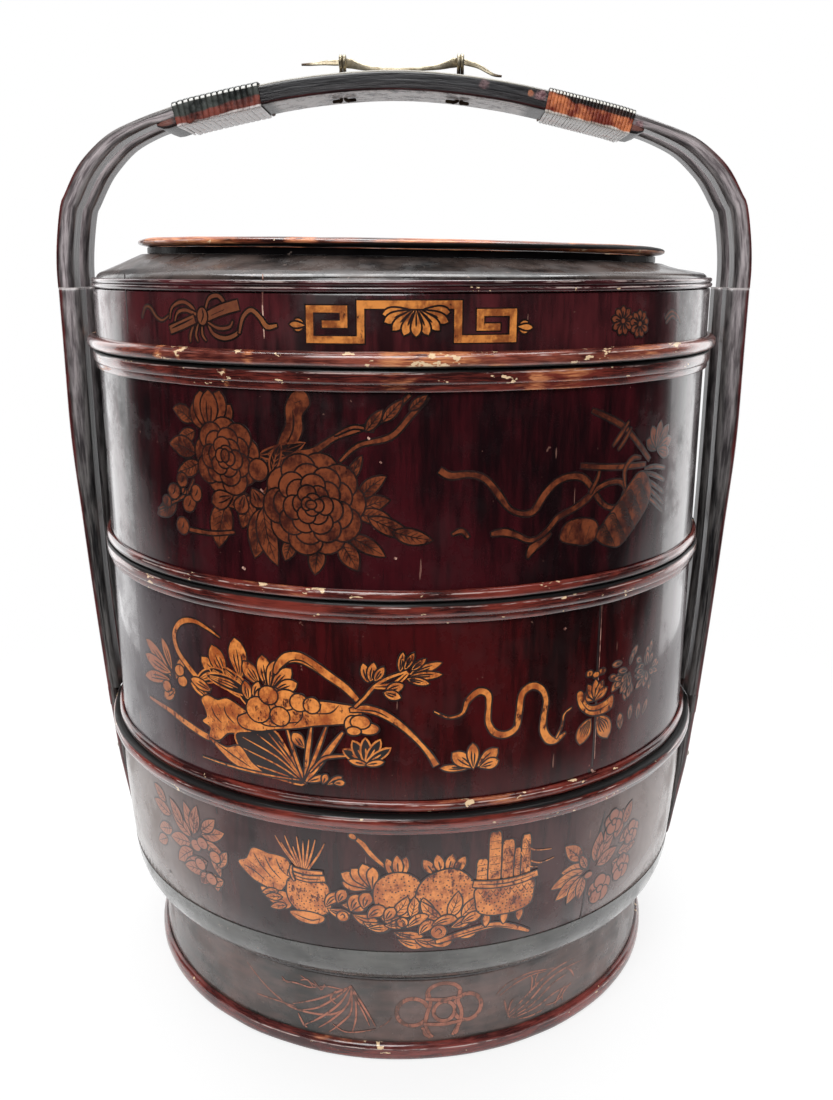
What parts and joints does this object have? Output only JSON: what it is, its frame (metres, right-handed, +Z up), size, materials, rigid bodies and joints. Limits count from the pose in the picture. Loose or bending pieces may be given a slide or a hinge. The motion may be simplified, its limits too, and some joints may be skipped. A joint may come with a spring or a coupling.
{
  "type": "tiered basket",
  "caption": "Round lacquered food basket: stacked trays and a domed lid on a turned foot, inside a fixed bentwood handle with bound grips and a brass bail.",
  "frame": {"origin": "centre of the foot on the surface that the basket stands on", "axes": "+Z up, X across the basket from leg to leg, -Y towards the front"},
  "size_m": [0.3676, 0.3362, 0.4946],
  "materials": {
    "red_brown_lacquer": "glossy worn lacquer over wood, dark red-brown, with gilt painting",
    "dark_lacquer": "glossy near-black lacquer over wood",
    "worn_hoop_lacquer": "lacquered split-cane hoops, red-brown, worn to orange on the edges",
    "inside_lacquer": "satin lacquer, plain",
    "handle_lacquer": "glossy black-brown lacquer over bent wood, dark red on the edges",
    "rattan": "lacquered rattan strand, worn",
    "aged_brass": "dull aged brass"
  },
  "bodies": {
    "basket_frame": {"foot_hoop": "worn_hoop_lacquer", "foot_drum": "dark_lacquer", "waist_moulding": "dark_lacquer", "base_floor": "inside_lacquer", "base_bowl": "red_brown_lacquer", "base_wall": "red_brown_lacquer", "base_rim": "worn_hoop_lacquer", "front_left_leg": "handle_lacquer", "front_right_leg": "handle_lacquer", "back_left_leg": "handle_lacquer", "back_right_leg": "handle_lacquer", "front_left_stud": "aged_brass", "front_right_stud": "aged_brass", "back_left_stud": "aged_brass", "back_right_stud": "aged_brass", "front_hoop": "handle_lacquer", "back_hoop": "handle_lacquer", "grip_core": "handle_lacquer", "grip_pad": "handle_lacquer", "left_rattan_binding": "rattan", "right_rattan_binding": "rattan", "brass_plate": "aged_brass", "left_split_pin": "aged_brass", "right_split_pin": "aged_brass"},
    "middle_tray": {"middle_wall": "red_brown_lacquer", "middle_floor": "inside_lacquer", "middle_rim": "worn_hoop_lacquer", "middle_heel_hoop": "worn_hoop_lacquer", "middle_spigot": "inside_lacquer"},
    "upper_tray": {"upper_wall": "red_brown_lacquer", "upper_floor": "inside_lacquer", "upper_rim": "worn_hoop_lacquer", "upper_heel_hoop": "worn_hoop_lacquer", "upper_spigot": "inside_lacquer"},
    "lid": {"lid_wall": "red_brown_lacquer", "lid_rim": "worn_hoop_lacquer", "lid_spigot": "inside_lacquer", "lid_dome": "dark_lacquer", "lid_shoulder_bead": "dark_lacquer", "gallery_neck": "dark_lacquer", "gallery_rim": "worn_hoop_lacquer"},
    "bail": {"brass_bail": "aged_brass"}
  },
  "joints": [
    {"name": "middle_tray_lift", "type": "slide", "parent": "basket_frame", "child": "middle_tray", "axis": [0, 0, 1], "range_m": [0, 0.012]},
    {"name": "upper_tray_lift", "type": "slide", "parent": "middle_tray", "child": "upper_tray", "axis": [0, 0, 1], "range_m": [0, 0.012]},
    {"name": "lid_lift", "type": "slide", "parent": "upper_tray", "child": "lid", "axis": [0, 0, 1], "range_m": [0, 0.018]},
    {"name": "bail_swing", "type": "hinge", "parent": "basket_frame", "child": "bail", "pos_m": [0, 0, 0.4908], "axis": [-1, 0, 0], "range_deg": [0, 225]}
  ]
}
